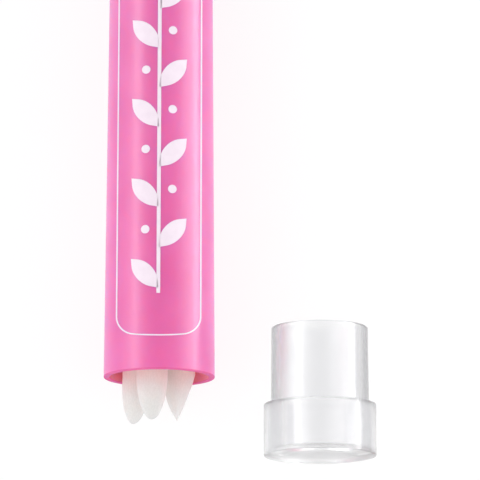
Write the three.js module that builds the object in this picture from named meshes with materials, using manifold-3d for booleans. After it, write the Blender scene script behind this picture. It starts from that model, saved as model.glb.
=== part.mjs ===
// A felt-tip corrector pen for nail polish, lying on a table with its rear store open.
// The store holds three spare tips, and the clear plug that closes it lies beside the barrel.
// Millimetres, +Z up. The pen lies along Y with its working end towards +Y.
// The origin is on the table, below the middle of everything that lies there.

import * as THREE from 'three';
import { mergeVertices } from 'three/addons/utils/BufferGeometryUtils.js';
import Module from 'manifold-3d';

// Number of flat sides on the round pieces and on the felt tips
const ROUND_SIDES = 40;
const TIP_SIDES = 20;
const ROUND_STEPS = 3;
const TIP_POINT_STEPS = 8;

// Barrel
const BARREL_REAR_DIAMETER = 12.5;
const BARREL_FRONT_DIAMETER = 11.3;
const BARREL_WALL = 0.65;
const BARREL_STEP = 0.85;
const RIM_ROUND = 0.3;

// Lengths that are stacked along the barrel, from its rear rim
const STORE_DEPTH = 30;
const STOPPER_LENGTH = 4.5;
const RESERVOIR_LENGTH = 42;
const HOLDER_TAIL_LENGTH = 10;

// Stopper between the store and the reservoir
const STOPPER_GROOVE_DEPTH = 0.4;
const STOPPER_GROOVE_WIDTH = 0.9;

// Reservoir and wick
const FILM_WALL = 0.25;
const WICK_DIAMETER = 3;
const WICK_BURIED = 6;

// Felt tips, one in use and three spare
const TIP_DIAMETER = 3.6;
const TIP_LENGTH = 20;
const TIP_POINT_LENGTH = 5.3;
const TIP_TAIL_CHAMFER = 0.25;
const TIP_POINT_OFFSET = 0.25;
const TIP_REACH = 6;

// How the wedge of a tip bulges on its short face, runs straight on its long one, and may lean
const SHORT_FACE_POWER = 2.5;
const LONG_FACE_POWER = 1.1;
const LEAN_POWER = 1.5;

// Where the spare tips lie in the store
const LEFT_TIP_ANGLE = 45;
const LEFT_TIP_LEAN = 0.38;
const SPARE_TIP_SPACE = 1.1;
const MIDDLE_TIP_ROLL = 15;
const LEFT_TIP_REACH = 4.9;
const MIDDLE_TIP_REACH = 4.9;
const RIGHT_TIP_REACH = 4.5;
const LEFT_TIP_TURN = 20;
const MIDDLE_TIP_TURN = 0;
const RIGHT_TIP_TURN = 90;

// Front section
const FLANGE_LENGTH = 1.6;
const SEAT_DIAMETER = 8.4;
const SEAT_LENGTH = 9;
const BEAD_HEIGHT = 0.12;
const BEAD_WIDTH = 0.8;
const NOZZLE_LENGTH = 6;
const NOZZLE_WALL = 0.8;
const VENT_COUNT = 3;
const VENT_WIDTH = 0.9;
const VENT_DEPTH = 0.5;

// Front cap and the seal inside it
const CAP_HEADROOM = 7.3;
const CAP_WALL = 0.9;
const CAP_CROWN = 1.2;
const CAP_COLLAR_LENGTH = 6;
const CROWN_ROUND = 0.5;
const SEAL_WALL = 0.8;

// End plug
const PLUG_COLLAR_PROUD = 0.05;
const PLUG_COLLAR_LENGTH = 5.8;
const PLUG_SPIGOT_LENGTH = 8.7;
const PLUG_WALL = 0.95;
const PLUG_BORE_STEP = 0.4;
const PLUG_BASE = 0.8;
const PLUG_BASE_ROUND = 0.35;
const PLUG_LIP_ROUND = 0.15;

// Where the plug lies beside the barrel
const PLUG_SPACE = 5.45;
const PLUG_BEHIND_RIM = 8.85;

// Clearances
const FIT_GAP = 0.1;
const END_GAP = 0.2;

const wasm = await Module();
wasm.setup();

// Shapes shared by several pieces

// The closed outline of a turned piece is a list of [radius, place along the axis].
// It runs up the outside and back down the inside, and closes on itself or on the axis.
function turned(outline, sides = ROUND_SIDES) {
  const points = outline.map(([radius, along]) => new THREE.Vector2(radius, along));
  const ends = points[0].x === 0 ? [] : [points[0].clone()];
  const geometry = new THREE.LatheGeometry([...points, ...ends], sides, Math.PI / sides);
  return bare(geometry);
}

// Position is all that a solid needs, with each corner stored once
function bare(geometry) {
  geometry.deleteAttribute('normal');
  geometry.deleteAttribute('uv');
  return mergeVertices(geometry, 1e-4);
}

// Points of a quarter round about a centre, between two angles in degrees
function arc(radius, along, round, from, to) {
  return Array.from({ length: ROUND_STEPS + 1 }, (_, step) => {
    const angle = THREE.MathUtils.degToRad(THREE.MathUtils.lerp(from, to, step / ROUND_STEPS));
    return [radius + round * Math.cos(angle), along + round * Math.sin(angle)];
  });
}

// A flat-sided ring lies on its flats, a little nearer its axis than its corners
function flatRadius(radius, sides = ROUND_SIDES) {
  return radius * Math.cos(Math.PI / sides);
}

function solid(geometry) {
  const vertProperties = new Float32Array(geometry.attributes.position.array);
  const triVerts = new Uint32Array(geometry.index.array);
  return new wasm.Manifold(new wasm.Mesh({ numProp: 3, vertProperties, triVerts }));
}

function geometryOf(manifold) {
  const { vertProperties, triVerts } = manifold.getMesh();
  const geometry = new THREE.BufferGeometry();
  geometry.setAttribute('position', new THREE.BufferAttribute(vertProperties, 3));
  geometry.setIndex(new THREE.BufferAttribute(triVerts, 1));
  return geometry;
}

function finish(color, roughness, opacity = 1) {
  return new THREE.MeshStandardMaterial({
    color, roughness, metalness: 0, opacity, transparent: opacity < 1,
  });
}

function piece(name, geometry, material) {
  const mesh = new THREE.Mesh(geometry, material);
  mesh.name = name;
  return mesh;
}

// Places along the pen, from the rear rim at 0 towards the working end

const SHOULDER = STORE_DEPTH + STOPPER_LENGTH + END_GAP;
const RESERVOIR_START = SHOULDER + END_GAP;
const RESERVOIR_END = RESERVOIR_START + RESERVOIR_LENGTH;
const HOLDER_START = RESERVOIR_END + END_GAP;
const BARREL_LENGTH = HOLDER_START + HOLDER_TAIL_LENGTH;
const FLANGE_START = BARREL_LENGTH + END_GAP;
const SEAT_START = FLANGE_START + FLANGE_LENGTH;
const NOZZLE_START = SEAT_START + SEAT_LENGTH;
const NOZZLE_END = NOZZLE_START + NOZZLE_LENGTH;
const TIP_END = NOZZLE_END + TIP_REACH;
const TIP_START = TIP_END - TIP_LENGTH;
const SOCKET_FLOOR = TIP_START - END_GAP;
const CAP_START = SEAT_START + END_GAP;
const SEAL_FLOOR = TIP_END + CAP_HEADROOM;
const SEAL_END = SEAL_FLOOR + SEAL_WALL;
const CROWN_START = SEAL_END + END_GAP;
const CAP_END = CROWN_START + CAP_CROWN;

// Radii that the pieces share

const REAR_RADIUS = BARREL_REAR_DIAMETER / 2;
const FRONT_RADIUS = BARREL_FRONT_DIAMETER / 2;
const TIP_RADIUS = TIP_DIAMETER / 2;
const WICK_RADIUS = WICK_DIAMETER / 2;
const SEAT_RADIUS = SEAT_DIAMETER / 2;
const SOCKET_RADIUS = TIP_RADIUS + FIT_GAP;
const WICK_BORE = WICK_RADIUS + FIT_GAP;
const NOZZLE_RADIUS = SOCKET_RADIUS + NOZZLE_WALL;
const CAP_BORE = SEAT_RADIUS + BEAD_HEIGHT + FIT_GAP;
const SEAL_RADIUS = CAP_BORE - FIT_GAP;
const SEAL_BORE = SEAL_RADIUS - SEAL_WALL;

function barrelRadius(along) {
  return THREE.MathUtils.lerp(REAR_RADIUS, FRONT_RADIUS, along / BARREL_LENGTH);
}

function storeBore(along) {
  return barrelRadius(along) - BARREL_WALL;
}

const FRONT_BORE = storeBore(SHOULDER) - BARREL_STEP;
const FILM_RADIUS = FRONT_BORE - FIT_GAP;
const FILM_BORE = FILM_RADIUS - FILM_WALL;
const SPIGOT_ROOT_RADIUS = storeBore(0) - FIT_GAP;
const SPIGOT_END_RADIUS = Math.min(SPIGOT_ROOT_RADIUS, storeBore(PLUG_SPIGOT_LENGTH) - FIT_GAP);
const PLUG_RADIUS = REAR_RADIUS + PLUG_COLLAR_PROUD;

// Barrel: a tapered tube with a step inside that stops the mid stopper, and a rounded rear lip

function barrel() {
  const lip = Math.min(RIM_ROUND, BARREL_WALL / 2);
  return turned([
    ...arc(REAR_RADIUS - lip, lip, lip, -90, 0),
    [FRONT_RADIUS, BARREL_LENGTH],
    [FRONT_BORE, BARREL_LENGTH],
    [FRONT_BORE, SHOULDER],
    [storeBore(SHOULDER), SHOULDER],
    ...arc(storeBore(0) + lip, lip, lip, 180, 270),
  ]);
}

// Stopper: a disc with two grooves, so that three narrow lands seal on the bore

function midStopper() {
  const land = (STOPPER_LENGTH - 2 * STOPPER_GROOVE_WIDTH) / 3;
  const edges = [
    0, land, land + STOPPER_GROOVE_WIDTH,
    2 * land + STOPPER_GROOVE_WIDTH, 2 * land + 2 * STOPPER_GROOVE_WIDTH, STOPPER_LENGTH,
  ];
  const edge = (step, depth) => {
    const along = STORE_DEPTH + edges[step];
    return [storeBore(along) - FIT_GAP - depth, along];
  };
  return turned([
    [0, STORE_DEPTH],
    edge(0, 0), edge(1, 0),
    edge(1, STOPPER_GROOVE_DEPTH), edge(2, STOPPER_GROOVE_DEPTH),
    edge(2, 0), edge(3, 0),
    edge(3, STOPPER_GROOVE_DEPTH), edge(4, STOPPER_GROOVE_DEPTH),
    edge(4, 0), edge(5, 0),
    [0, STORE_DEPTH + STOPPER_LENGTH],
  ]);
}

// Reservoir: a fibre rod in a thin wrap, with a blind hole for the wick

function reservoirFilm() {
  return turned([
    [FILM_RADIUS, RESERVOIR_START], [FILM_RADIUS, RESERVOIR_END],
    [FILM_BORE, RESERVOIR_END], [FILM_BORE, RESERVOIR_START],
  ]);
}

function reservoirCore() {
  const radius = FILM_BORE - FIT_GAP;
  const holeFloor = RESERVOIR_END - WICK_BURIED - END_GAP;
  return turned([
    [0, RESERVOIR_START], [radius, RESERVOIR_START], [radius, RESERVOIR_END],
    [WICK_BORE, RESERVOIR_END], [WICK_BORE, holeFloor], [0, holeFloor],
  ]);
}

function feedWick() {
  const start = RESERVOIR_END - WICK_BURIED;
  const end = SOCKET_FLOOR;
  return turned([[0, start], [WICK_RADIUS, start], [WICK_RADIUS, end], [0, end]]);
}

// Nib holder: a tail in the barrel, a flange, the cap's seat with its click bead, and the nozzle

function nibHolder() {
  const tail = FRONT_BORE - FIT_GAP;
  const beadStart = SEAT_START + SEAT_LENGTH / 2 - BEAD_WIDTH / 2;
  const body = turned([
    [tail, HOLDER_START], [tail, FLANGE_START],
    [FRONT_RADIUS, FLANGE_START], [FRONT_RADIUS, SEAT_START],
    [SEAT_RADIUS, SEAT_START],
    [SEAT_RADIUS, beadStart],
    [SEAT_RADIUS + BEAD_HEIGHT, beadStart + BEAD_WIDTH / 2],
    [SEAT_RADIUS, beadStart + BEAD_WIDTH],
    [SEAT_RADIUS, NOZZLE_START],
    [NOZZLE_RADIUS, NOZZLE_END],
    [SOCKET_RADIUS, NOZZLE_END], [SOCKET_RADIUS, SOCKET_FLOOR],
    [WICK_BORE, SOCKET_FLOOR], [WICK_BORE, HOLDER_START],
  ]);
  // Air takes the place of the fluid through grooves along the tail
  let vented = solid(body);
  for (let vent = 0; vent < VENT_COUNT; vent += 1) {
    const slot = new THREE.BoxGeometry(VENT_WIDTH, 2 * HOLDER_TAIL_LENGTH, 2 * VENT_DEPTH);
    slot.translate(0, HOLDER_START, tail);
    slot.rotateY((2 * Math.PI * vent) / VENT_COUNT);
    vented = vented.subtract(solid(bare(slot)));
  }
  return geometryOf(vented);
}

// Felt tip: a rod whose point is a rounded bullet seen on its broad side and a wedge seen edge on.
// The wedge has a short face that bulges and a long straight one, and its point may lean to one side.

function feltTip(lean = 0) {
  const pointStart = TIP_LENGTH - TIP_POINT_LENGTH;
  const points = Array.from({ length: TIP_POINT_STEPS }, (_, step) => {
    const share = Math.sin((Math.PI / 2) * (step / TIP_POINT_STEPS));
    return [TIP_RADIUS, pointStart + TIP_POINT_LENGTH * share];
  });
  const geometry = turned([
    [0, 0], [TIP_RADIUS - TIP_TAIL_CHAMFER, 0], [TIP_RADIUS, TIP_TAIL_CHAMFER],
    ...points,
    [0, TIP_LENGTH],
  ], TIP_SIDES);
  const position = geometry.attributes.position;
  for (let index = 0; index < position.count; index += 1) {
    const share = THREE.MathUtils.clamp((position.getY(index) - pointStart) / TIP_POINT_LENGTH, 0, 1);
    const above = 1 - share ** SHORT_FACE_POWER;
    const below = 1 - share ** LONG_FACE_POWER;
    const centre = (TIP_RADIUS * (above - below)) / 2 + TIP_POINT_OFFSET * share ** 2;
    position.setX(index, position.getX(index) * Math.sqrt(1 - share ** 2) + lean * share ** LEAN_POWER);
    position.setZ(index, position.getZ(index) * ((above + below) / 2) + centre);
  }
  return geometry;
}

// Front cap: a clear thimble with a proud collar at its mouth

function frontCap() {
  const radius = CAP_BORE + CAP_WALL;
  const collarEnd = CAP_START + CAP_COLLAR_LENGTH;
  return turned([
    [REAR_RADIUS, CAP_START], [REAR_RADIUS, collarEnd],
    [radius, collarEnd],
    ...arc(radius - CROWN_ROUND, CAP_END - CROWN_ROUND, CROWN_ROUND, 0, 90),
    [0, CAP_END],
    [0, CROWN_START], [CAP_BORE, CROWN_START], [CAP_BORE, CAP_START],
  ]);
}

// Seal: a cup on the cap's inner end, whose mouth meets the slope of the nozzle

function capSeal() {
  const slope = (SEAT_RADIUS - SEAL_BORE) / (SEAT_RADIUS - NOZZLE_RADIUS);
  const mouth = NOZZLE_START + slope * NOZZLE_LENGTH + END_GAP;
  return turned([
    [SEAL_RADIUS, mouth], [SEAL_RADIUS, SEAL_END], [0, SEAL_END],
    [0, SEAL_FLOOR], [SEAL_BORE, SEAL_FLOOR], [SEAL_BORE, mouth],
  ]);
}

// End plug: a clear stepped cup. Its closed end is at 0, and its open spigot fits the store's mouth.
// Its bore narrows at the collar, where the wall is thickest

function endPlug() {
  const length = PLUG_COLLAR_LENGTH + PLUG_SPIGOT_LENGTH;
  const bore = SPIGOT_END_RADIUS - PLUG_WALL;
  const collarBore = bore - PLUG_BORE_STEP;
  return turned([
    [0, 0],
    ...arc(PLUG_RADIUS - PLUG_BASE_ROUND, PLUG_BASE_ROUND, PLUG_BASE_ROUND, -90, 0),
    [PLUG_RADIUS, PLUG_COLLAR_LENGTH],
    [SPIGOT_ROOT_RADIUS, PLUG_COLLAR_LENGTH],
    ...arc(SPIGOT_END_RADIUS - PLUG_LIP_ROUND, length - PLUG_LIP_ROUND, PLUG_LIP_ROUND, 0, 90),
    [bore, length], [bore, PLUG_COLLAR_LENGTH],
    [collarBore, PLUG_COLLAR_LENGTH], [collarBore, PLUG_BASE], [0, PLUG_BASE],
  ]);
}

// Where the spare tips lie: two on the floor of the store, and one on the left one's shoulder

function spareTipCentres() {
  const reach = Math.min(flatRadius(storeBore(0)), flatRadius(storeBore(STORE_DEPTH)));
  const ring = reach - TIP_RADIUS - FIT_GAP;
  const leftAngle = THREE.MathUtils.degToRad(-90 - LEFT_TIP_ANGLE);
  const apart = TIP_DIAMETER + SPARE_TIP_SPACE;
  const rightAngle = leftAngle + 2 * Math.asin(apart / (2 * ring));
  const onRing = (angle) => new THREE.Vector2(ring * Math.cos(angle), ring * Math.sin(angle));
  const left = onRing(leftAngle);
  const right = onRing(rightAngle);
  // Touching both others it would lie at this angle, and it is rolled back towards the left one
  const touch = TIP_DIAMETER + FIT_GAP;
  const across = right.clone().sub(left);
  const lean = across.angle() + Math.acos(across.length() / (2 * touch));
  const angle = lean + THREE.MathUtils.degToRad(MIDDLE_TIP_ROLL);
  const middle = new THREE.Vector2(touch * Math.cos(angle), touch * Math.sin(angle)).add(left);
  return { left, middle, right };
}

// Colours and finishes

const PINK = finish('#f277b4', 0.35);
const FELT = finish('#eeebe9', 0.95);
const FIBRE = finish('#f0c9dc', 0.95);
const FILM = finish('#f7f7f7', 0.3);
const WHITE_PLASTIC = finish('#f4f3f1', 0.4);
const SEAL_PLASTIC = finish('#ececec', 0.5);
const CLEAR_PLASTIC = finish('#f1f1f5', 0.08, 0.35);

// The pen, with its rear rim at the group's origin and its axis along Y

const pen = new THREE.Group();
pen.add(
  piece('barrel', barrel(), PINK.clone()),
  piece('mid_stopper', midStopper(), WHITE_PLASTIC.clone()),
  piece('reservoir_film', reservoirFilm(), FILM.clone()),
  piece('reservoir_core', reservoirCore(), FIBRE.clone()),
  piece('feed_wick', feedWick(), FIBRE.clone()),
  piece('nib_holder', nibHolder(), WHITE_PLASTIC.clone()),
  piece('front_cap', frontCap(), CLEAR_PLASTIC.clone()),
  piece('cap_seal', capSeal(), SEAL_PLASTIC.clone()),
);

const workingTip = piece('felt_tip', feltTip(), FELT.clone());
workingTip.position.y = TIP_START;
pen.add(workingTip);

// A spare tip points back out of the store, and is turned about its own length
function spareTip(name, centre, reach, turn, lean) {
  const tip = piece(name, feltTip(lean), FELT.clone());
  tip.rotation.order = 'ZYX';
  tip.rotation.set(0, THREE.MathUtils.degToRad(turn), Math.PI);
  tip.position.set(centre.x, TIP_LENGTH - reach, centre.y);
  return tip;
}

const centres = spareTipCentres();
pen.add(
  spareTip('spare_tip_left', centres.left, LEFT_TIP_REACH, LEFT_TIP_TURN, LEFT_TIP_LEAN),
  spareTip('spare_tip_middle', centres.middle, MIDDLE_TIP_REACH, MIDDLE_TIP_TURN),
  spareTip('spare_tip_right', centres.right, RIGHT_TIP_REACH, RIGHT_TIP_TURN),
);
pen.position.z = flatRadius(REAR_RADIUS);

// The plug lies on its collar to the right of the pen

const plug = piece('end_plug', endPlug(), CLEAR_PLASTIC.clone());
const plugAcross = REAR_RADIUS + PLUG_SPACE + PLUG_RADIUS;
plug.position.set(plugAcross, -PLUG_BEHIND_RIM, flatRadius(PLUG_RADIUS));

// Everything is moved so that the origin is on the table below the middle of the whole

const whole = new THREE.Group();
whole.add(pen, plug);
whole.updateMatrixWorld(true);
const box = new THREE.Box3().setFromObject(whole, true);
const middle = box.getCenter(new THREE.Vector3());
whole.position.set(-middle.x, -middle.y, -box.min.z);

export default whole;
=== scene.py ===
# %% [markdown]
# # A corrector pen for nail polish, with the store in its rear end open
# A corrector pen wipes stray polish off the skin round a nail. Its barrel holds fluid, a felt tip
# carries the fluid to the skin, and three spare tips wait in a store behind a clear plug. Here the
# plug has been pulled out and lies beside the barrel.
# The frame that is loaded first holds every piece at its true size and place. This script gives each
# piece its smooth shape and its finish, and then lights and photographs the whole.

from math import cos, pi, radians, sin, sqrt, tau

import bpy
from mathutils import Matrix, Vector


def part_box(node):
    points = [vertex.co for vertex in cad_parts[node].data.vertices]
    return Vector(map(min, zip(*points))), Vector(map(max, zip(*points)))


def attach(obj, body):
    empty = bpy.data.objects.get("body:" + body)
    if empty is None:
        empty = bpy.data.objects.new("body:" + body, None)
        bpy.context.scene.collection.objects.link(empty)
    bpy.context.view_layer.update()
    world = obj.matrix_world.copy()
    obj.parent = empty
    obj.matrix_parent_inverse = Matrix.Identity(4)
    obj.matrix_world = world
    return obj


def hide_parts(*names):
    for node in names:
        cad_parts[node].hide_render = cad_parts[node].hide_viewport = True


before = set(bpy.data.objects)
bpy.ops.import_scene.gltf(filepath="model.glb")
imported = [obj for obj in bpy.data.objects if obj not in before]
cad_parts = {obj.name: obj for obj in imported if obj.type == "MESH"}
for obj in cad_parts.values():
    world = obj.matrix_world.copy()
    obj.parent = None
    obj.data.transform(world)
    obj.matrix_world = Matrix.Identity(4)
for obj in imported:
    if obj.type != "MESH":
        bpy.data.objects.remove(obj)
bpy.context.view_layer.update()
bpy.ops.object.select_all(action="DESELECT")
print("pieces in the frame:", ", ".join(sorted(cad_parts)))

# %% [markdown]
# ## Where things lie
# Every size is worked out from the boxes of the frame's own pieces, so a pen of another size would be
# dressed in the same way. The pen lies along Y, with its open rear end towards -Y. Lengths along the
# pen are counted in millimetres from the rear rim, as on a drawing.

# %% Places along the pen and the plug
MM = 0.001


def middle_line(node):
    """The point on a round piece's middle line at its end towards -Y."""
    low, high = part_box(node)
    return Vector(((low.x + high.x) / 2, low.y, (low.z + high.z) / 2))


def radius_of(node):
    """Half the width of a piece, in millimetres."""
    low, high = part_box(node)
    return (high.x - low.x) / 2 / MM


def span_of(node):
    """Where a piece starts and ends along the pen, in millimetres from the rear rim."""
    low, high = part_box(node)
    return (low.y - RIM.y) / MM, (high.y - RIM.y) / MM


RIM = middle_line("barrel")
PLUG_BASE_CENTRE = middle_line("end_plug")
BARREL_RADIUS = radius_of("barrel")
BARREL_LENGTH = span_of("barrel")[1]
print(f"barrel: {2 * BARREL_RADIUS:.2f} mm across, {BARREL_LENGTH:.1f} mm long")

# %% [markdown]
# ## How the round pieces are made
# Nearly everything in a pen is turned or moulded round a middle line. A lathe hand would draw half of
# the section and spin it, and so do the next helpers: one point is extruded into a chain of straight
# edges, the chain's corners are rounded with a vertex bevel, and Spin sweeps it round the line.
# Stacking cylinders would be quicker, but would leave seams and no rounded lips for light to catch.

# %% Pick points and edges
TOUCH = 1e-6


def pick(piece, wanted):
    """Selects the points of a mesh that pass a test on their place. Works in edit mode."""
    bpy.ops.object.mode_set(mode="OBJECT")
    for face in piece.data.polygons:
        face.select = False
    for edge in piece.data.edges:
        edge.select = False
    for point in piece.data.vertices:
        point.select = wanted(point.co)
    bpy.ops.object.mode_set(mode="EDIT")


def pick_edges(piece, wanted):
    """Selects the edges of a mesh whose two ends both pass a test on their place."""
    pick(piece, lambda place: False)
    bpy.ops.object.mode_set(mode="OBJECT")
    points = piece.data.vertices
    for edge in piece.data.edges:
        edge.select = all(wanted(points[end].co) for end in edge.vertices)
    bpy.ops.object.mode_set(mode="EDIT")


# %% [markdown]
# A chain needs a first point, and Blender adds no lone points, so a tiny plane is merged into one. After
# the spin the doubled points on the seam are merged, all faces are turned outwards, and only edges that
# are truly sharp stay sharp.

# %% Draw half a section and spin it
SPIN_STEPS = 144
CORNER_STEPS = 5


def lone_point(name, place):
    """A mesh with a single point, left in edit mode with that point selected."""
    bpy.ops.object.select_all(action="DESELECT")
    bpy.ops.mesh.primitive_plane_add(size=MM)
    piece = bpy.context.object
    piece.name = name
    piece.data.name = name
    bpy.ops.object.mode_set(mode="EDIT")
    bpy.ops.mesh.merge(type="CENTER")
    bpy.ops.transform.translate(value=place)
    return piece


def close_up(smooth_below=40):
    """Merges doubled points, turns all faces outwards and smooths all but the sharp edges.
    Works on the piece in edit mode, and leaves that mode."""
    bpy.ops.mesh.select_all(action="SELECT")
    bpy.ops.mesh.remove_doubles(threshold=TOUCH)
    bpy.ops.mesh.normals_make_consistent(inside=False)
    bpy.ops.object.mode_set(mode="OBJECT")
    bpy.ops.object.shade_smooth_by_angle(angle=radians(smooth_below))


def spun(name, origin, corners):
    """A turned piece. A corner is (radius, place along Y from the origin, rounding), in millimetres.
    The chain ends on the middle line, or closes on its first corner."""
    points = [origin + Vector((radius, along, 0)) * MM for radius, along, _ in corners]
    piece = lone_point(name, points[0])
    closing = points[:1] if corners[0][0] else []
    for here, there in zip(points, points[1:] + closing):
        bpy.ops.mesh.extrude_region_move(TRANSFORM_OT_translate={"value": there - here})
    bpy.ops.mesh.select_all(action="SELECT")
    bpy.ops.mesh.remove_doubles(threshold=TOUCH)
    for point, (_, _, rounding) in zip(points, corners):
        if rounding:
            pick(piece, lambda place, point=point: (place - point).length < TOUCH)
            bpy.ops.mesh.bevel(offset=rounding * MM, segments=CORNER_STEPS, affect="VERTICES")
    bpy.ops.mesh.select_all(action="SELECT")
    bpy.ops.mesh.spin(steps=SPIN_STEPS, angle=tau, center=origin, axis=(0, 1, 0))
    close_up()
    return piece


def dressed(piece, node, body):
    """Puts a finished piece in the place of its node in the frame, on the same body."""
    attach(piece, body)
    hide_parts(node)
    print(f"{piece.name}: {len(piece.data.polygons)} faces")


# %% [markdown]
# ## The barrel
# The barrel is one pink moulding, a tube that tapers towards the front so that it leaves the mould.
# The edges of its mouth are lightly rounded, where the photograph shows a thin line of light, and a step
# deep inside stops the stopper between the store and the fluid. Pieces that slide in each other are made
# with a small gap all round, and pieces that meet end to end with a slightly larger one.

# %% Spin the barrel
BARREL_TAPER = 0.6
BARREL_WALL = 0.65
LIP_ROUND = 0.1
EDGE_ROUND = 0.12
FIT_GAP = 0.1
END_GAP = 0.2
SHOULDER = span_of("mid_stopper")[1] + END_GAP
FRONT_BORE = radius_of("reservoir_film") + FIT_GAP


def barrel_radius(along):
    """The outer radius at a place along the pen, in millimetres."""
    return BARREL_RADIUS - BARREL_TAPER * along / BARREL_LENGTH


def store_bore(along):
    """The radius of the store for spare tips at a place along the pen."""
    return barrel_radius(along) - BARREL_WALL


barrel = spun("barrel_shell", RIM, [
    (barrel_radius(0), 0, LIP_ROUND),
    (barrel_radius(BARREL_LENGTH), BARREL_LENGTH, EDGE_ROUND),
    (FRONT_BORE, BARREL_LENGTH, EDGE_ROUND),
    (FRONT_BORE, SHOULDER, 0),
    (store_bore(SHOULDER), SHOULDER, 0),
    (store_bore(0), 0, LIP_ROUND),
])
dressed(barrel, "barrel", "barrel")

# %% [markdown]
# ## The print on the barrel
# A white line runs round the upper face of the barrel as a long frame with round corners. Inside it
# grows a sprig with leaves and berries, an ornament as old as printing. The print is drawn flat above the
# barrel, where straight lines and round corners are easy, then cut into narrow strips and dropped onto
# the barrel with Shrinkwrap, and Solidify gives the ink its thickness. Painting it in the material would
# be lighter, but its edges would not stay crisp.

# %% Draw the frame flat
FRAME_WIDTH = 9.5
FRAME_LINE = 0.15
FRAME_BOW = 0.91
BOW_ROUND = 2.8
FRAME_CORNER = 1.9
FRAME_MARGIN = 4.3
OUTLINE_STEPS = 20
DRAWING_HEIGHT = 4.0
DRAWING_PLANE = RIM.z + (BARREL_RADIUS + DRAWING_HEIGHT) * MM


def drawn_at(across, along):
    """A point of the drawing, in millimetres from the middle line and from the rear rim."""
    return Vector((RIM.x + across * MM, RIM.y + along * MM, DRAWING_PLANE))


def drawn_plane(name, along, width, length):
    """A flat rectangle on the middle line of the drawing, left in edit mode."""
    bpy.ops.object.select_all(action="DESELECT")
    bpy.ops.mesh.primitive_plane_add(size=MM, location=drawn_at(0, along))
    plane = bpy.context.object
    plane.name = name
    plane.scale = (width, length, 1)
    bpy.ops.object.transform_apply()
    bpy.ops.object.mode_set(mode="EDIT")
    return plane


outline = drawn_plane("barrel_print", BARREL_LENGTH / 2, FRAME_WIDTH, BARREL_LENGTH - 2 * FRAME_MARGIN)
low_end = drawn_at(0, FRAME_MARGIN).y
high_end = drawn_at(0, BARREL_LENGTH - FRAME_MARGIN).y
for end_y, outward in ((low_end, -1), (high_end, 1)):
    pick_edges(outline, lambda place, end_y=end_y: abs(place.y - end_y) < TOUCH)
    bpy.ops.mesh.subdivide(number_cuts=1)
    end_middle = Vector((RIM.x, end_y, DRAWING_PLANE))
    pick(outline, lambda place, end_middle=end_middle: (place - end_middle).length < TOUCH)
    bpy.ops.transform.translate(value=(0, outward * FRAME_BOW * MM, 0))
    bpy.ops.mesh.bevel(offset=BOW_ROUND * MM, segments=OUTLINE_STEPS, affect="VERTICES")
pick(outline, lambda place: abs(place.x - RIM.x) > FRAME_WIDTH / 2 * MM - TOUCH)
bpy.ops.mesh.bevel(offset=FRAME_CORNER * MM, segments=OUTLINE_STEPS, affect="VERTICES")
bpy.ops.mesh.select_all(action="SELECT")
bpy.ops.mesh.inset(thickness=FRAME_LINE * MM, depth=0)
bpy.ops.mesh.delete(type="FACE")
bpy.ops.object.mode_set(mode="OBJECT")
print(f"outline: {FRAME_WIDTH} mm wide, {BARREL_LENGTH - 2 * FRAME_MARGIN:.1f} mm long")

# %% [markdown]
# A leaf starts as a diamond. Bevelling its two side corners nearly to the ends turns the diamond into a
# pointed oval, and turning it about its lower end sets it on the stem.

# %% Draw the sprig flat
STEM_WIDTH = 0.42
STEM_START = 8.5
LEAF_PITCH = 4.6
LEAF_LENGTH = 4.6
LEAF_CORNER = 1.75
LEAF_TURN = 42
LEAF_BEVEL = 0.9
LEAF_STEPS = 16
FIRST_LEAF = 0.6
BERRY_RADIUS = 0.48
BERRY_ACROSS = 1.5
BERRY_SIDES = 32
BERRY_LEAD = 1.45
stem_end = BARREL_LENGTH - STEM_START - LEAF_LENGTH


def leaf(along, turn):
    """A leaf that starts on the stem, turned in degrees from the way the stem grows."""
    foot = drawn_at(0, along)
    bpy.ops.object.select_all(action="DESELECT")
    bpy.ops.mesh.primitive_circle_add(
        vertices=4, radius=MM, fill_type="NGON", location=foot + Vector((0, LEAF_LENGTH / 2 * MM, 0))
    )
    made = bpy.context.object
    made.scale = (LEAF_CORNER, LEAF_LENGTH / 2, 1)
    bpy.ops.object.transform_apply()
    bpy.ops.object.mode_set(mode="EDIT")
    pick(made, lambda place: abs(place.x - RIM.x) > MM)
    bpy.ops.mesh.bevel(offset=LEAF_BEVEL * LEAF_LENGTH / 2 * MM, segments=LEAF_STEPS, affect="VERTICES")
    bpy.ops.mesh.select_all(action="SELECT")
    bpy.ops.transform.rotate(value=radians(turn), orient_axis="Z", center_override=foot)
    bpy.ops.object.mode_set(mode="OBJECT")
    return made


def berry(along, side):
    """A round dot beside the stem."""
    bpy.ops.object.select_all(action="DESELECT")
    bpy.ops.mesh.primitive_circle_add(
        vertices=BERRY_SIDES, radius=BERRY_RADIUS * MM, fill_type="NGON",
        location=drawn_at(side * BERRY_ACROSS, along),
    )
    bpy.ops.object.transform_apply()
    return bpy.context.object


stem = drawn_plane("stem", (STEM_START + stem_end) / 2, STEM_WIDTH, stem_end - STEM_START)
bpy.ops.object.mode_set(mode="OBJECT")
sprig = [stem, leaf(stem_end, 0)]
for step in range(int((stem_end - STEM_START) / LEAF_PITCH)):
    side = 1 if step % 2 else -1
    leaf_foot = STEM_START + FIRST_LEAF + step * LEAF_PITCH
    sprig += [leaf(leaf_foot, side * LEAF_TURN), berry(leaf_foot + BERRY_LEAD * LEAF_PITCH, side)]
print("print: one outline and a sprig of", len(sprig), "shapes")

# %% [markdown]
# ## Laying the print onto the barrel
# A face can't follow a curve that runs through its middle, so the flat drawing is cut into strips
# along the pen first. Bisect does that one cut at a time, as a guillotine would.

# %% Cut into strips, drop onto the barrel and thicken
STRIP_WIDTH = 0.2
INK_THICKNESS = 0.02


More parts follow.
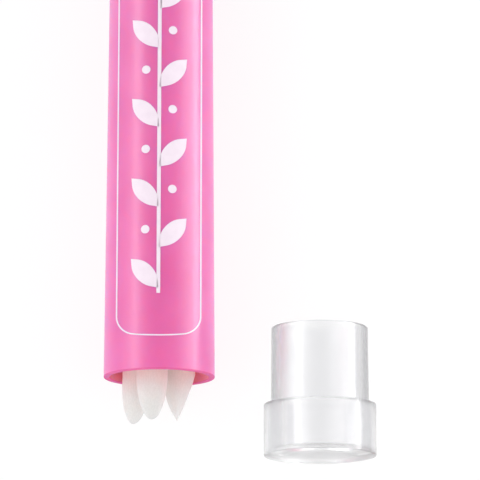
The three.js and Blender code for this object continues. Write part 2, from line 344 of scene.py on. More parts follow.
def apply_modifier(piece, kind, **settings):
    """Adds a modifier to the active piece and applies it at once."""
    modifier = piece.modifiers.new(kind.title(), kind)
    for name, value in settings.items():
        setattr(modifier, name, value)
    bpy.ops.object.modifier_apply(modifier=modifier.name)


bpy.ops.object.select_all(action="DESELECT")
for shape in [*sprig, outline]:
    shape.select_set(True)
bpy.context.view_layer.objects.active = outline
bpy.ops.object.join()
bpy.ops.object.mode_set(mode="EDIT")
strips = round(FRAME_WIDTH / STRIP_WIDTH)
for cut in range(1, strips):
    bpy.ops.mesh.select_all(action="SELECT")
    cut_at = RIM.x + (cut / strips - 0.5) * FRAME_WIDTH * MM
    bpy.ops.mesh.bisect(plane_co=(cut_at, 0, 0), plane_no=(1, 0, 0))
bpy.ops.object.mode_set(mode="OBJECT")
apply_modifier(
    outline, "SHRINKWRAP", target=barrel, wrap_method="PROJECT", use_project_z=True,
    use_negative_direction=True, use_positive_direction=False,
)
apply_modifier(outline, "SOLIDIFY", thickness=INK_THICKNESS * MM, offset=1)
bpy.ops.object.mode_set(mode="EDIT")
close_up(smooth_below=60)
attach(outline, "barrel")
print(f"print: {len(outline.data.polygons)} faces, top at {outline.bound_box[1][2] / MM:.2f} mm")

# %% [markdown]
# ## What the barrel holds
# Behind the store sits a stopper with two grooves, so that three narrow lands seal on the bore. It is
# turned like the barrel, from a list of shares of its length and depths below the lands. It doesn't show
# in the photograph, but a reader who takes the barrel away finds the pen complete.

# %% Stopper
GROOVE = 0.4
LAND_ROUND = 0.08
LANDS_AND_GROOVES = [
    (0, 0), (0.2, 0), (0.2, GROOVE), (0.4, GROOVE), (0.4, 0),
    (0.6, 0), (0.6, GROOVE), (0.8, GROOVE), (0.8, 0), (1, 0),
]


def stopper_corners():
    """Out from the middle, along the three lands and two grooves, and back to the middle."""
    start, end = span_of("mid_stopper")
    corners = [(0, start, 0)]
    for share, depth in LANDS_AND_GROOVES:
        along = start + share * (end - start)
        corners.append((store_bore(along) - FIT_GAP - depth, along, LAND_ROUND))
    return [*corners, (0, end, 0)]


stopper = spun("stopper", RIM, stopper_corners())
dressed(stopper, "mid_stopper", "barrel")

# %% [markdown]
# The fluid is held by a rod of fibre in a thin wrap, and a stiffer wick, buried in the rod's front end,
# leads it to the working tip. All three are plain turned rods and tubes.

# %% Reservoir and wick
FILM_WALL = 0.25
FILM_ROUND = 0.05
start, end = span_of("reservoir_film")
film_radius = radius_of("reservoir_film")
film = spun("reservoir_wrap", RIM, [
    (film_radius, start, FILM_ROUND),
    (film_radius, end, FILM_ROUND),
    (film_radius - FILM_WALL, end, FILM_ROUND),
    (film_radius - FILM_WALL, start, FILM_ROUND),
])
dressed(film, "reservoir_film", "barrel")

WICK_BURIED = 6.2
WICK_BORE = radius_of("feed_wick") + FIT_GAP
ROD_ROUND = 0.2
BORE_ROUND = 0.1
core_radius = radius_of("reservoir_core")
core = spun("reservoir_rod", RIM, [
    (0, start, 0),
    (core_radius, start, ROD_ROUND),
    (core_radius, end, ROD_ROUND),
    (WICK_BORE, end, BORE_ROUND),
    (WICK_BORE, end - WICK_BURIED, 0),
    (0, end - WICK_BURIED, 0),
])
dressed(core, "reservoir_core", "barrel")

WICK_ROUND = 0.15
start, end = span_of("feed_wick")
wick_radius = radius_of("feed_wick")
wick = spun("wick", RIM, [
    (0, start, 0),
    (wick_radius, start, WICK_ROUND),
    (wick_radius, end, WICK_ROUND),
    (0, end, 0),
])
dressed(wick, "feed_wick", "barrel")

# %% [markdown]
# ## The front section
# The nib holder plugs the front of the barrel. Its flange meets the barrel's end, the cap's seat has a
# small bead that clicks into the cap, and the nozzle narrows to the felt tip. All of that is round, so it
# is spun in one go.

# %% Nib holder
HOLDER_TAIL = 10.2
FLANGE_LENGTH = 1.6
SEAT_RADIUS = 4.2
SEAT_LENGTH = 9
BEAD_HEIGHT = 0.12
BEAD_WIDTH = 0.8
NOZZLE_WALL = 0.8
TAIL_ROUND = 0.2
FLANGE_ROUND = 0.2
SEAT_FILLET = 0.05
BEAD_FOOT_ROUND = 0.15
BEAD_ROUND = 0.25
NOZZLE_SHOULDER_ROUND = 0.5
NOZZLE_ROUND = 0.3
SOCKET_ROUND = 0.15
start, end = span_of("nib_holder")
tail_radius = FRONT_BORE - FIT_GAP
flange_radius = radius_of("nib_holder")
flange_start = start + HOLDER_TAIL
seat_start = flange_start + FLANGE_LENGTH
nozzle_start = seat_start + SEAT_LENGTH
bead_middle = seat_start + SEAT_LENGTH / 2
socket_radius = radius_of("felt_tip") + FIT_GAP
socket_floor = span_of("felt_tip")[0] - END_GAP
holder = spun("nib_holder_front", RIM, [
    (tail_radius, start, TAIL_ROUND),
    (tail_radius, flange_start, 0),
    (flange_radius, flange_start, EDGE_ROUND),
    (flange_radius, seat_start, FLANGE_ROUND),
    (SEAT_RADIUS, seat_start, SEAT_FILLET),
    (SEAT_RADIUS, bead_middle - BEAD_WIDTH / 2, BEAD_FOOT_ROUND),
    (SEAT_RADIUS + BEAD_HEIGHT, bead_middle, BEAD_ROUND),
    (SEAT_RADIUS, bead_middle + BEAD_WIDTH / 2, BEAD_FOOT_ROUND),
    (SEAT_RADIUS, nozzle_start, NOZZLE_SHOULDER_ROUND),
    (socket_radius + NOZZLE_WALL, end, NOZZLE_ROUND),
    (socket_radius, end, SOCKET_ROUND),
    (socket_radius, socket_floor, 0),
    (WICK_BORE, socket_floor, 0),
    (WICK_BORE, start, BORE_ROUND),
])

# %% [markdown]
# Three grooves along the holder's tail let air in as fluid goes out. They aren't round, so three bars are
# laid along the tail and a Boolean cuts them away, as a milling cutter would.

# %% Cut the air grooves
VENTS = 3
VENT_WIDTH = 0.9
VENT_DEPTH = 0.5
bpy.ops.object.select_all(action="DESELECT")
bars = []
for vent in range(VENTS):
    angle = tau * vent / VENTS
    centre = RIM + Vector((tail_radius * sin(angle), start, tail_radius * cos(angle))) * MM
    bpy.ops.mesh.primitive_cube_add(size=MM, location=centre, rotation=(0, angle, 0))
    bpy.context.object.scale = (VENT_WIDTH, 2 * (HOLDER_TAIL - END_GAP), 2 * VENT_DEPTH)
    bars.append(bpy.context.object)
for bar in bars:
    bar.select_set(True)
bpy.ops.object.transform_apply()
bpy.ops.object.join()
cutter = bpy.context.object
bpy.context.view_layer.objects.active = holder
apply_modifier(holder, "BOOLEAN", object=cutter, operation="DIFFERENCE", solver="EXACT")
bpy.data.objects.remove(cutter)
dressed(holder, "nib_holder", "barrel")

# %% [markdown]
# ## Cap and seal
# The front of the pen lies outside the photograph. Its cap is made in the style of the clear plug: a
# stepped thimble with a proud collar, and a soft cup inside that seals on the nozzle so that the tip
# doesn't dry out.

# %% Front cap and its seal
CAP_WALL = 0.9
CAP_CROWN = 1.2
CAP_COLLAR = 6
CAP_RIM_ROUND = 0.3
CAP_COLLAR_ROUND = 0.15
CAP_STEP_ROUND = 0.1
CAP_CROWN_ROUND = 0.8
CAP_FLOOR_ROUND = 0.3
CAP_MOUTH_ROUND = 0.2
CAP_BORE = radius_of("cap_seal") + FIT_GAP
start, end = span_of("front_cap")
collar_radius = radius_of("front_cap")
cap = spun("front_cap_clear", RIM, [
    (collar_radius, start, CAP_RIM_ROUND),
    (collar_radius, start + CAP_COLLAR, CAP_COLLAR_ROUND),
    (CAP_BORE + CAP_WALL, start + CAP_COLLAR, CAP_STEP_ROUND),
    (CAP_BORE + CAP_WALL, end, CAP_CROWN_ROUND),
    (0, end, 0),
    (0, end - CAP_CROWN, 0),
    (CAP_BORE, end - CAP_CROWN, CAP_FLOOR_ROUND),
    (CAP_BORE, start, CAP_MOUTH_ROUND),
])
dressed(cap, "front_cap", "front_cap")

SEAL_WALL = 0.8
SEAL_RIM_ROUND = 0.15
SEAL_FLOOR_ROUND = 0.3
SEAL_MOUTH_ROUND = 0.25
start, end = span_of("cap_seal")
seal_radius = radius_of("cap_seal")
seal = spun("cap_seal_cup", RIM, [
    (seal_radius, start, SEAL_RIM_ROUND),
    (seal_radius, end, SEAL_FLOOR_ROUND),
    (0, end, 0),
    (0, end - SEAL_WALL, 0),
    (seal_radius - SEAL_WALL, end - SEAL_WALL, SEAL_FLOOR_ROUND),
    (seal_radius - SEAL_WALL, start, SEAL_MOUTH_ROUND),
])
dressed(seal, "cap_seal", "front_cap")

# %% [markdown]
# ## The end plug
# The plug is a clear cup with a step: the narrow spigot goes into the barrel's mouth and the collar
# meets the rim. Its closed end is a thin disc. Clear mouldings show their walls as grey bands where
# light is bent away, so each wall and rounding is modelled, and the material adds only a painted grey
# band of shade near each edge.

# %% Spin the plug
PLUG_COLLAR = 5.8
PLUG_WALL = 0.95
PLUG_BORE_STEP = 0.4
PLUG_FLOOR = 0.8
PLUG_END_ROUND = 0.15
PLUG_STEP_ROUND = 0.06
PLUG_MOUTH_ROUND = 0.1
PLUG_BORE_ROUND = 0.08
low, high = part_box("end_plug")
plug_length = (high.y - low.y) / MM
plug_radius = radius_of("end_plug")
spigot_root = store_bore(0) - FIT_GAP
spigot_end = store_bore(plug_length - PLUG_COLLAR) - FIT_GAP
plug_bore = spigot_end - PLUG_WALL
collar_bore = plug_bore - PLUG_BORE_STEP
plug = spun("end_plug_clear", PLUG_BASE_CENTRE, [
    (0, 0, 0),
    (plug_radius, 0, PLUG_END_ROUND),
    (plug_radius, PLUG_COLLAR, PLUG_STEP_ROUND),
    (spigot_root, PLUG_COLLAR, PLUG_STEP_ROUND),
    (spigot_end, plug_length, PLUG_END_ROUND),
    (plug_bore, plug_length, PLUG_MOUTH_ROUND),
    (plug_bore, PLUG_COLLAR, PLUG_BORE_ROUND),
    (collar_bore, PLUG_COLLAR, PLUG_BORE_ROUND),
    (collar_bore, PLUG_FLOOR, PLUG_MOUTH_ROUND),
    (0, PLUG_FLOOR, 0),
])
dressed(plug, "end_plug", "end_plug")

# %% [markdown]
# ## The felt tips
# A tip is a rod of pressed felt whose point is ground to a wedge: a round bullet from its broad side,
# and a chisel from its edge. It is extruded ring by ring from a disc, and each ring is scaled across
# and through by its own factor, which a spin could not do. A little displacement makes it felt.

# %% Extrude a felt tip ring by ring
TIP_SIDES = 72
TIP_POINT = 5.3
TIP_CHAMFER = 0.25
TIP_OFFSET = 0.25
SHORT_FACE_POWER = 2.5
LONG_FACE_POWER = 1.1
LEAN_POWER = 1.5
BLUNT_EDGE = 0.08
STRAIGHT_STEPS = 36
POINT_STEPS = 22
FELT_DEPTH = 0.05
FELT_GRAIN = 0.45
TIP_RADIUS = radius_of("spare_tip_right")
TIP_LENGTH = span_of("felt_tip")[1] - span_of("felt_tip")[0]
felt_lumps = bpy.data.textures.new("felt_lumps", "CLOUDS")
felt_lumps.noise_scale = FELT_GRAIN * MM
felt_lumps.noise_depth = 2


def tip_rings():
    """Each ring of a tip, from the tail: place along it, half breadth, half thickness, rise and lean."""
    straight = TIP_LENGTH - TIP_POINT
    rings = [(0, TIP_RADIUS - TIP_CHAMFER, TIP_RADIUS - TIP_CHAMFER, 0, 0)]
    for step in range(STRAIGHT_STEPS):
        along = TIP_CHAMFER + step / STRAIGHT_STEPS * (straight - TIP_CHAMFER)
        rings.append((along, TIP_RADIUS, TIP_RADIUS, 0, 0))
    for step in range(POINT_STEPS):
        share = sin(pi / 2 * step / POINT_STEPS)
        above = TIP_RADIUS * (1 - share**SHORT_FACE_POWER)
        below = TIP_RADIUS * (1 - share**LONG_FACE_POWER)
        breadth = TIP_RADIUS * sqrt(1 - share**2)
        thickness = max((above + below) / 2, BLUNT_EDGE)
        rise = (above - below) / 2 + TIP_OFFSET * share**2
        rings.append((straight + TIP_POINT * share, breadth, thickness, rise, share**LEAN_POWER))
    return rings


def felt_tip(name, tail, heading, turn, lean):
    """A tip with the middle of its tail at a point, heading along Y by +1 or -1, turned in degrees.
    Lean is how far its point is bent aside."""
    rings = tip_rings()
    bpy.ops.object.select_all(action="DESELECT")
    bpy.ops.mesh.primitive_circle_add(
        vertices=TIP_SIDES, radius=rings[0][1] * MM, fill_type="NGON",
        location=tail, rotation=(pi / 2, 0, 0),
    )
    tip = bpy.context.object
    tip.name = name
    tip.data.name = name
    bpy.ops.object.transform_apply()
    bpy.ops.object.mode_set(mode="EDIT")
    middles = [
        tail + MM * Vector((-lean * bend, heading * along, rise))
        for along, _, _, rise, bend in rings
    ]
    for step in range(1, len(rings)):
        move = middles[step] - middles[step - 1]
        bpy.ops.mesh.extrude_region_move(TRANSFORM_OT_translate={"value": move})
        growth = (rings[step][1] / rings[step - 1][1], 1, rings[step][2] / rings[step - 1][2])
        bpy.ops.transform.resize(value=growth, center_override=middles[step])
    bpy.ops.mesh.merge(type="CENTER")
    point = tail + MM * Vector((-lean, heading * TIP_LENGTH, TIP_OFFSET))
    bpy.ops.transform.translate(value=point - middles[-1])
    bpy.ops.mesh.select_all(action="SELECT")
    bpy.ops.transform.rotate(value=radians(turn), orient_axis="Y", center_override=tail)
    close_up(smooth_below=60)
    apply_modifier(
        tip, "DISPLACE", texture=felt_lumps, texture_coords="LOCAL",
        strength=FELT_DEPTH * MM, mid_level=1.0,
    )
    return tip


# %% [markdown]
# The three spare tips lie in the store with their points outwards, each turned another way, so one shows
# its broad side and another its chisel edge. The working tip points the other way, out of the nozzle.

# %% Three spare tips and the working one
SPARE_TIPS = [("left", 20, 0.38), ("middle", 0, 0), ("right", 90, 0)]
tips = []
for side, turn, lean in SPARE_TIPS:
    node = f"spare_tip_{side}"
    low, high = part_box(node)
    tail = Vector((high.x - TIP_RADIUS * MM, high.y, high.z - TIP_RADIUS * MM))
    tips.append(felt_tip(f"{node}_felt", tail, -1, turn, lean))
    dressed(tips[-1], node, node)
tail = middle_line("felt_tip")
tips.append(felt_tip("felt_tip_working", tail, 1, 0, 0))
dressed(tips[-1], "felt_tip", "felt_tip")

# %% [markdown]
# ## Writing finishes as sums
# A finish is a net of nodes, and a net is easier to read as arithmetic. Field wraps one output of a
# node, and adding or multiplying two of them adds the Math node that does so. Every other node comes
# from its method node, which takes the node's type, its settings and what goes into its sockets.

# %% A wrapper for sockets
class Field:
    """A value, colour or direction that varies over a surface."""

    def __init__(self, socket):
        self.socket = socket
        self.tree = socket.id_data

    def node(self, kind, settings, inputs, output=0):
        """Adds a node, with its settings first, then its inputs, and wraps one of its outputs."""
        made = self.tree.nodes.new(kind)
        for name, value in settings.items():
            setattr(made, name, value)
        for name, value in inputs.items():
            if isinstance(value, Field):
                self.tree.links.new(value.socket, made.inputs[name])
            else:
                made.inputs[name].default_value = value
        return Field(made.outputs[output])

    def math(self, operation, first, second=0.0):
        """Works out one sum on two values."""
        return self.node("ShaderNodeMath", {"operation": operation}, {0: first, 1: second})

    def __add__(self, other):
        return self.math("ADD", self, other)

    def __radd__(self, other):
        return self.math("ADD", other, self)

    def __sub__(self, other):
        return self.math("SUBTRACT", self, other)

    def __rsub__(self, other):
        return self.math("SUBTRACT", other, self)

    def __mul__(self, other):
        return self.math("MULTIPLY", self, other)

    def __rmul__(self, other):
        return self.math("MULTIPLY", other, self)

    def split(self):
        """The three parts of a place or a direction."""
        first = self.node("ShaderNodeSeparateXYZ", {}, {0: self})
        return [Field(output) for output in first.socket.node.outputs]

    def stretched(self, across, along, through):
        """Coordinates scaled along each axis, for a pattern that is drawn out."""
        settings = {"operation": "MULTIPLY"}
        return self.node("ShaderNodeVectorMath", settings, {0: self, 1: (across, along, through)})

    def noise(self, scale, detail=3.0, roughness=0.55):
        """Soft random values between 0 and 1, about as many per metre as the scale says."""
        inputs = {"Vector": self, "Scale": scale, "Detail": detail, "Roughness": roughness}
        return self.node("ShaderNodeTexNoise", {}, inputs)

    def between(self, low, high):
        """0 below one value, 1 above another, and a smooth step between them."""
        settings = {"interpolation_type": "SMOOTHSTEP"}
        inputs = {"Value": self, "From Min": low, "From Max": high}
        return self.node("ShaderNodeMapRange", settings, inputs)

    def mix(self, first, second):
        """Goes from one colour to another as this value goes from 0 to 1."""
        settings = {"data_type": "RGBA"}
        return self.node("ShaderNodeMix", settings, {0: self, 6: first, 7: second}, 2)


# %% [markdown]
# Every finish starts from a new material and the place on its surface, and ends with its fields fed into
# the shader. Colours are written as on a paint chart. Clear and thin pieces also let the lamps shine
# through, which the renderer otherwise leaves to rays that find a lamp by chance.

# %% Helpers for finishes
def colour(code):
    """A colour written as on a paint chart, such as f277b4, in the renderer's own light values."""
    parts = [int(code[place:place + 2], 16) / 255 for place in (0, 2, 4)]
    light = [part / 12.92 if part <= 0.04045 else ((part + 0.055) / 1.055) ** 2.4 for part in parts]
    return (*light, 1)


def new_finish(name, **constants):
    """A material, its shader, and the place on the surface, for a finish to be worked out from."""
    material = bpy.data.materials.new(name)
    material.use_nodes = True
    tree = material.node_tree
    shader = tree.nodes["Principled BSDF"]
    for socket, value in constants.items():
        shader.inputs[socket.replace("_", " ")].default_value = value
    place = Field(tree.nodes.new("ShaderNodeTexCoord").outputs["Object"])
    return material, shader, place


def connect(shader, depth, **fields):
    """Feeds a shader: Base_Color and Roughness as they are, and Height as bumps of a depth in mm."""
    tree = shader.id_data
    height = fields.pop("Height")
    inputs = {"Height": height, "Distance": depth * MM, "Strength": 1.0}
    fields["Normal"] = height.node("ShaderNodeBump", {}, inputs)
    for socket, field in fields.items():
        tree.links.new(field.socket, shader.inputs[socket.replace("_", " ")])


def lets_light_through(shader, tint):
    """Lets lamps shine through a surface with a tint, which a shader alone would stop."""
    tree = shader.id_data
    lamp_ray = Field(tree.nodes.new("ShaderNodeLightPath").outputs["Is Shadow Ray"])
    passed = lamp_ray.node("ShaderNodeBsdfTransparent", {}, {"Color": tint})
    both = lamp_ray.node("ShaderNodeMixShader", {}, {0: lamp_ray, 1: Field(shader.outputs[0]), 2: passed})
    tree.links.new(both.socket, tree.nodes["Material Output"].inputs["Surface"])


def coat(material, *pieces):
    """Gives pieces one material and no other."""
    for piece in pieces:
        piece.data.materials.clear()
        piece.data.materials.append(material)
    print(f"{material.name}: {', '.join(piece.name for piece in pieces)}")


# %% [markdown]
# ## Pink plastic
# The barrel is a dyed moulding, lacquered on its outside to a satin gloss. Light enters the plastic a
# little way and softens its shadows. The dye is not perfectly even, and the mould leaves faint marks along
# the draw. The bare lip has no lacquer, and its colour is a darker, redder pink: painted shade on the
# rim's end face. Inside the tube the light bounces from pink to pink and turns red, and that red is
# painted into the inside's colour as painted bounce light. The inside is told from the outside by its
# distance from the middle line, with the taper added back.
# The wall is thin enough for lamps to shine through, which is why the tips look pink where they go in.

# %% Pink plastic for the barrel
INSIDE_FROM = 0.25
INSIDE_FULL = 0.02
LIP_ENDS = (0.08, 0.2)
WALL_TINT = (1.0, 0.72, 0.7, 1)
pink, shader, place = new_finish(
    "pink_plastic", Subsurface_Weight=1.0, Subsurface_Radius=(1.0, 0.3, 0.2), Subsurface_Scale=0.0006,
    Specular_IOR_Level=0.0, Coat_IOR=1.8, Coat_Roughness=0.36,
)
place_x, place_y, place_z = place.split()
across = place_x - RIM.x
through = place_z - RIM.z
from_rim = place_y - RIM.y
distance = place.math("SQRT", across * across + through * through)
untapered = distance + BARREL_TAPER / BARREL_LENGTH * from_rim
inside = 1 - untapered.between((store_bore(0) + INSIDE_FULL) * MM, (store_bore(0) + INSIDE_FROM) * MM)
past_the_lip = from_rim.between(LIP_ENDS[0] * MM, LIP_ENDS[1] * MM)
clouds = place.noise(150, 2)
draw_marks = place.stretched(1, 0.02, 1).noise(2600, 2)
grain = place.noise(7000, 2)
outside_pink = clouds.between(0.3, 0.7).mix(colour("e667ae"), colour("ea6eb4"))
# Painted shade: the bare lip is a darker, redder pink, for the shade on the rim's end face.
painted_shade_lip_pink = clouds.between(0.3, 0.7).mix(colour("de6a9f"), colour("e271a5"))
# Painted bounce light: the inside is a redder pink, for the red light that bounces inside the tube.
painted_bounce_pink = grain.between(0.2, 0.8).mix(colour("e4849a"), colour("e98ca2"))
connect(
    shader, 0.012,
    Base_Color=past_the_lip.mix(painted_shade_lip_pink, inside.mix(outside_pink, painted_bounce_pink)),
    Roughness=0.4 + 0.08 * clouds + 0.06 * draw_marks,
    Coat_Weight=past_the_lip * (1 - inside),
    Height=0.6 * draw_marks + 0.4 * grain,
)
lets_light_through(shader, WALL_TINT)
coat(pink, barrel)

# %% [markdown]
# ## Ink
# Screen-printed ink is thick and white, a little matt, with a fine texture from the screen's mesh and a
# hint of the pink below where it is thin.

# %% White ink for the print
ink, shader, place = new_finish("white_ink")
patches = place.noise(900, 3)
mesh_marks = place.noise(9000, 1)
connect(
    shader, 0.004,
    Base_Color=patches.between(0.25, 0.75).mix(colour("f1e2ee"), colour("f6e8f3")),
    Roughness=0.42 + 0.14 * patches,
    Height=mesh_marks,
)
coat(ink, outline)

# %% [markdown]
# ## Felt
# Pressed felt is matt, with short fibres that run mostly along the rod. Two noises, one drawn out along
# the tip and one fine and even, give the fibres their colour and relief. Light enters felt, which softens
# its shadows, and a good part of it comes out again behind, so one tip doesn't leave the next in the dark.

# %% Felt for the tips
FELT_TINT = (0.75, 0.71, 0.7, 1)
felt, shader, place = new_finish(
    "felt", Subsurface_Weight=0.9, Subsurface_Radius=(1.0, 0.85, 0.8), Subsurface_Scale=0.0025,
    Sheen_Weight=0.15, Sheen_Roughness=0.5,
)
fibres = place.stretched(1, 0.12, 1).noise(9000, 4, 0.65)
lint = place.noise(5200, 4, 0.7)
soiling = place.noise(420, 2)
shade = 0.55 * fibres + 0.45 * lint
connect(
    shader, 0.05,
    Base_Color=shade.between(0.3, 0.7).mix(colour("d8d8d6"), colour("e3e3e1")),
    Roughness=0.86 + 0.1 * soiling,
    Height=shade,
)
lets_light_through(shader, FELT_TINT)
coat(felt, *tips)

# %% [markdown]
# ## Clear plastic
# The plug and the cap are moulded from clear styrene. The light that passes is what shows, so the shader
# lets nearly all of it through. A band near each edge, where the wall is seen at a slant, is painted grey:
# painted shade for the darker surroundings that a slanted wall bends into view. In the plug's thicker
# collar that band starts sooner. A faint unevenness of the surface and fine scuffs keep the reflections
# from being perfect.

# %% Clear plastic for the plug and the cap
BAND_STARTS = (0.45, 0.62)
BAND_ENDS = (0.76, 0.92)
COLLAR_LEAD = 0.25
COLLAR_BLEND = 0.05
CLEAR_TINT = (0.96, 0.96, 0.97, 1)
clear, shader, place = new_finish("clear_plastic", Transmission_Weight=1.0, IOR=1.5)
ripple = place.noise(240, 2)
scuffs = place.stretched(1, 0.05, 1).noise(3000, 3)
facing = place.node("ShaderNodeLayerWeight", {}, {"Blend": 0.5}, "Facing")
shoulder = PLUG_BASE_CENTRE.y + PLUG_COLLAR * MM
from_shoulder = place.split()[1] - shoulder
collar = 1 - from_shoulder.between(-COLLAR_BLEND * MM, COLLAR_BLEND * MM)
slant = facing + COLLAR_LEAD * collar
# Painted shade: a grey band where the wall is seen at a slant, lighter again at the very edge.
painted_edge_shade = slant.between(*BAND_STARTS) - slant.between(*BAND_ENDS)
middle_tint = ripple.between(0.2, 0.8).mix(colour("f8f8f9"), colour("fbfbfc"))
connect(
    shader, 0.006,
    Base_Color=painted_edge_shade.mix(middle_tint, colour("d2d2d6")),
    Roughness=0.2 + 0.08 * scuffs,
    Height=ripple,
)
lets_light_through(shader, CLEAR_TINT)
coat(clear, plug, cap)

# %% [markdown]
# ## Plain plastics and fibre
# The parts inside the pen have plain finishes. The holder and the stopper are white plastic with a fine
# grain from the mould, and the seal is a softer, milky one with less gloss.

# %% White and milky plastic
white, shader, place = new_finish("white_plastic")
clouds = place.noise(200, 2)
grain = place.noise(6500, 2)
connect(
    shader, 0.01,
    Base_Color=clouds.between(0.3, 0.7).mix(colour("d9d7d4"), colour("e1e0dd")),
    Roughness=0.34 + 0.1 * clouds,
    Height=grain,
)
coat(white, holder, stopper)

milky, shader, place = new_finish("seal_plastic")
clouds = place.noise(260, 2)
grain = place.noise(5200, 2)
connect(
    shader, 0.012,
    Base_Color=clouds.between(0.3, 0.7).mix(colour("dcdcdb"), colour("e6e5e4")),
    Roughness=0.48 + 0.12 * grain,
    Height=grain,
)
coat(milky, seal)

# %% [markdown]
# The wrap is a thin glossy film with creases along the rod. The fibre below it is a bundle of strands,
# soaked in pale pink fluid, so its noise is drawn out along the pen and its gloss changes with the wet.

# %% Wrap and fibre
wrap, shader, place = new_finish("film_plastic")
creases = place.stretched(1, 0.08, 1).noise(1500, 3)
connect(
    shader, 0.02,
    Base_Color=creases.between(0.3, 0.7).mix(colour("f1f0f0"), colour("f9f9f9")),
    Roughness=0.18 + 0.16 * creases,
    Height=creases,
)
coat(wrap, film)

fibre, shader, place = new_finish("fibre")
strands = place.stretched(1, 0.02, 1).noise(6000, 3, 0.6)
wetness = place.noise(180, 2)
connect(
    shader, 0.06,
    Base_Color=strands.between(0.3, 0.7).mix(colour("e8b7d0"), colour("f3d3e3")),
    Roughness=0.7 + 0.2 * wetness,
    Height=strands,
)
coat(fibre, core, wick)

# %% [markdown]
# ## The white table
# The photograph has a pure white background. The floor is white where the camera, a reflection or clear
# plastic looks at it, and plain pale paint for all other light, so that it doesn't flood the pen. A share
# of plain paint stays in what the camera sees, and that share carries the soft shadow.

# %% White floor
FLOOR_SIZE = 3.0
FLOOR_DROP = 0.02
FLOOR_PAINT = 0.7
FLOOR_WHITE = 1.02
SHADOW_SHARE = 0.2


def grey(level):
    """A grey, given as its light value."""
    return (level, level, level, 1)


bpy.ops.object.select_all(action="DESELECT")
bpy.ops.mesh.primitive_plane_add(size=FLOOR_SIZE, location=(0, 0, -FLOOR_DROP * MM))
floor = bpy.context.object
floor.name = "floor"
paper = bpy.data.materials.new("white_paper")
paper.use_nodes = True
paper_tree = paper.node_tree
paper_tree.nodes.remove(paper_tree.nodes["Principled BSDF"])
paper_rays = paper_tree.nodes.new("ShaderNodeLightPath").outputs
seen = Field(paper_rays["Is Camera Ray"])
mirrored = Field(paper_rays["Is Glossy Ray"])
seen_through = Field(paper_rays["Is Transmission Ray"])
in_gloss = seen.math("MAXIMUM", mirrored, seen_through)
paint = seen.node("ShaderNodeBsdfDiffuse", {}, {"Color": grey(FLOOR_PAINT)})
thin_paint = seen.node("ShaderNodeBsdfDiffuse", {}, {"Color": grey(SHADOW_SHARE)})
glow = seen.node("ShaderNodeEmission", {}, {"Color": grey(1), "Strength": FLOOR_WHITE - SHADOW_SHARE})
shaded_white = seen.node("ShaderNodeAddShader", {}, {0: thin_paint, 1: glow})
plain_white = seen.node("ShaderNodeEmission", {}, {"Color": grey(1), "Strength": 1.0})
unseen = seen.node("ShaderNodeMixShader", {}, {0: in_gloss, 1: paint, 2: plain_white})
surface = seen.node("ShaderNodeMixShader", {}, {0: seen, 1: unseen, 2: shaded_white})
paper_tree.links.new(surface.socket, paper_tree.nodes["Material Output"].inputs["Surface"])
floor.data.materials.append(paper)
print(f"floor: {FLOOR_SIZE} m of white paper")

# %% [markdown]
# ## The studio light
# The pen is lit as in a light tent: a dim white dome, a little brighter towards the open end, so that the
# tips and the inside of the tube are lit. Two wide glows, one on each side, and three narrow stripes of
# brighter cloth run along the pen and draw soft pale bands down the barrel and the clear plug. Gloss and
# clear plastic see them at full strength, and matt surfaces see less of them, so that white pieces keep
# their shading. They are painted on the dome, because its edges can be as soft as cloth.

# %% Paint the dome
DOME_LEVEL = 0.2
FRONT_LEVEL = 0.25
FRONT_EDGE = (0.2, 0.8)
STRIPE_EDGE = (-0.15, 0.08)
GLOWS = [(-60, 25, 0.8), (60, 25, 0.5)]
GLOW_GAIN = 0.9
STRIPES = [(-50, 5, 5.0), (62, 8, 2.6), (86, 6, 13.0)]
STRIPE_SHARE = 0.3
dome = bpy.data.worlds.new("light_tent")
bpy.context.scene.world = dome
dome.use_nodes = True
dome_tree = dome.node_tree
way = Field(dome_tree.nodes.new("ShaderNodeTexCoord").outputs["Generated"])
aside, ahead, upward = way.split()
lean = way.math("ARCTAN2", aside, upward)
dome_rays = dome_tree.nodes.new("ShaderNodeLightPath").outputs
mirrored = Field(dome_rays["Is Glossy Ray"])
seen_through = Field(dome_rays["Is Transmission Ray"])
in_gloss = way.math("MAXIMUM", mirrored, seen_through)


def band(middle, width, strength):
    """A soft band of light along the pen, in degrees from straight above, fading to both sides."""
    offset = (lean - radians(middle)) * (1 / radians(width))
    return strength * way.math("EXPONENT", -0.5 * offset * offset)


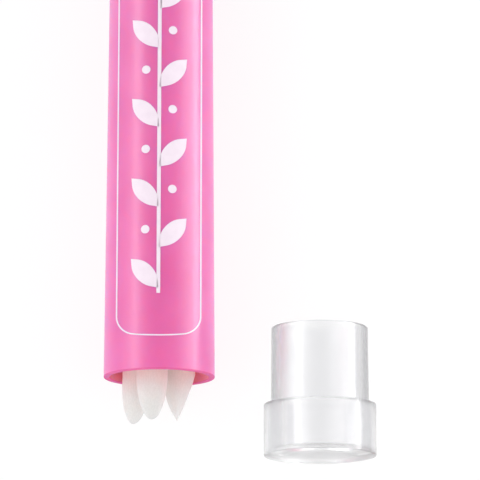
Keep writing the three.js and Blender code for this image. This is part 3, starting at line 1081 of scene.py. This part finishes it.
level = DOME_LEVEL + FRONT_LEVEL * (0 - ahead).between(*FRONT_EDGE)
for glow_band in GLOWS:
    level = level + band(*glow_band) * (1 + GLOW_GAIN * in_gloss)
stripe_level = ahead.between(*STRIPE_EDGE) * (STRIPE_SHARE + (1 - STRIPE_SHARE) * in_gloss)
for stripe in STRIPES:
    level = level + band(*stripe) * stripe_level
level = level + Field(dome_rays["Is Camera Ray"]) * (1 - level)
background = dome_tree.nodes["Background"].inputs
background["Color"].default_value = grey(1)
dome_tree.links.new(level.socket, background["Strength"])
print("dome with", len(GLOWS), "glows and", len(STRIPES), "stripes")

# %% [markdown]
# ## The soft boxes
# Three large lamps hang at the left, above and at the right, and give matt surfaces their even light. The
# dome already shows gloss what it should mirror, so the lamps are kept out of reflections. Multiple
# importance sampling is off, so that all of their light comes by rays that are aimed at them. Such rays
# pass the pink wall and the felt with a tint, and so the tips in the store are lit.

# %% Hang the soft boxes
BOX_SIZE = 0.5
BOX_DISTANCE = 0.4
SOFT_BOXES = [(-60, 0.48), (0, 0.34), (60, 0.48)]
for box_angle, power in SOFT_BOXES:
    turn = radians(box_angle)
    box_place = RIM + BOX_DISTANCE * Vector((sin(turn), 0, cos(turn)))
    bpy.ops.object.light_add(type="AREA", location=box_place, rotation=(0, turn, 0))
    soft_box = bpy.context.object
    soft_box.name = f"soft_box_{box_angle}"
    soft_box.data.size = BOX_SIZE
    soft_box.data.energy = power
    soft_box.data.cycles.use_multiple_importance_sampling = False
    soft_box.visible_camera = False
    soft_box.visible_glossy = False
    soft_box.visible_transmission = False
print("soft boxes:", len(SOFT_BOXES))

# %% [markdown]
# ## The camera
# The photograph looks down on the pen, leaning a little towards its open end so that the mouth of the
# store shows. The lens is long: things keep nearly the same size across the picture.

# %% Camera
CAMERA_TILT = 12.0
CAMERA_DISTANCE = 360
CAMERA_AIM = Vector((9.055, 15.8, 0))
CAMERA_ANGLE = 8.626
CAMERA_RANGE = (0.01, 10)
tilt = radians(CAMERA_TILT)
camera_place = RIM + (CAMERA_AIM + CAMERA_DISTANCE * Vector((0, -sin(tilt), cos(tilt)))) * MM
bpy.ops.object.camera_add(location=camera_place, rotation=(tilt, 0, 0))
camera = bpy.context.object
camera.data.angle = radians(CAMERA_ANGLE)
camera.data.clip_start, camera.data.clip_end = CAMERA_RANGE
bpy.context.scene.camera = camera
bpy.context.scene.view_settings.view_transform = "Standard"
print("camera at", [round(value, 4) for value in camera_place])
